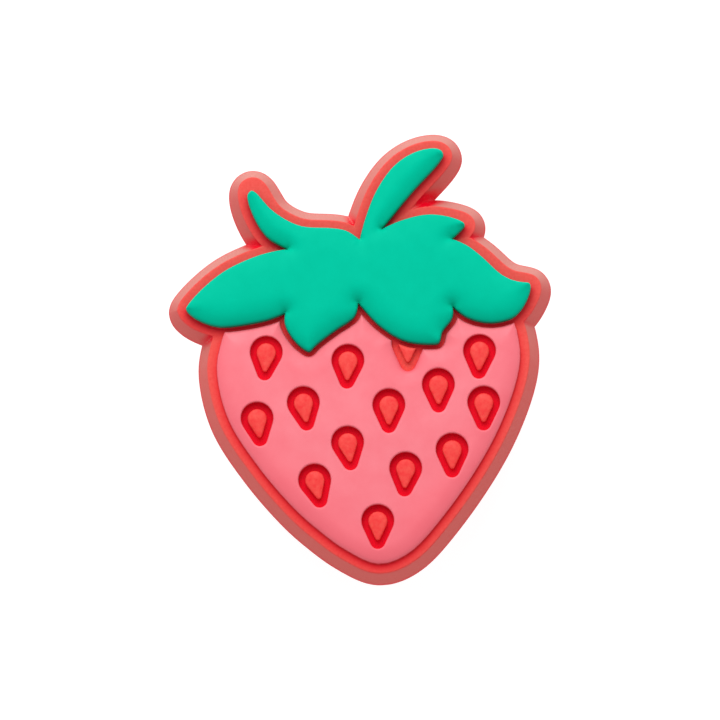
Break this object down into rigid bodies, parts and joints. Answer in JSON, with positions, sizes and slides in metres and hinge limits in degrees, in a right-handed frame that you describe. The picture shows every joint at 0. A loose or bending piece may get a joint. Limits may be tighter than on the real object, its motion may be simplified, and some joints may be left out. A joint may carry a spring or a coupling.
{
  "type": "strawberry shoe charm",
  "caption": "Flat strawberry-shaped charm of layered soft PVC, with a leafy crown, raised pips and a round push-in stud on its back that clips into a ventilation hole of a clog.",
  "frame": {"origin": "centre of the stud's flat foot, on the surface that the charm lies on", "axes": "+Z out of the charm's face, along the stud; +Y towards the stem; +X to the right as the face is read"},
  "size_m": [0.024, 0.0284, 0.0101],
  "materials": {
    "backing_pvc": "fine matt soft PVC, coral red",
    "pink_pvc": "satin soft PVC, pink",
    "pip_pvc": "satin soft PVC, bright red",
    "green_pvc": "satin soft PVC, green"
  },
  "bodies": {
    "root": {"stud": "backing_pvc", "backing_plate": "backing_pvc", "fruit_face": "pink_pvc", "leaf_crown": "green_pvc", "seed_01": "pip_pvc", "seed_02": "pip_pvc", "seed_03": "pip_pvc", "seed_04": "pip_pvc", "seed_05": "pip_pvc", "seed_06": "pip_pvc", "seed_07": "pip_pvc", "seed_08": "pip_pvc", "seed_09": "pip_pvc", "seed_10": "pip_pvc", "seed_11": "pip_pvc", "seed_12": "pip_pvc", "seed_13": "pip_pvc", "seed_14": "pip_pvc"}
  },
  "joints": []
}
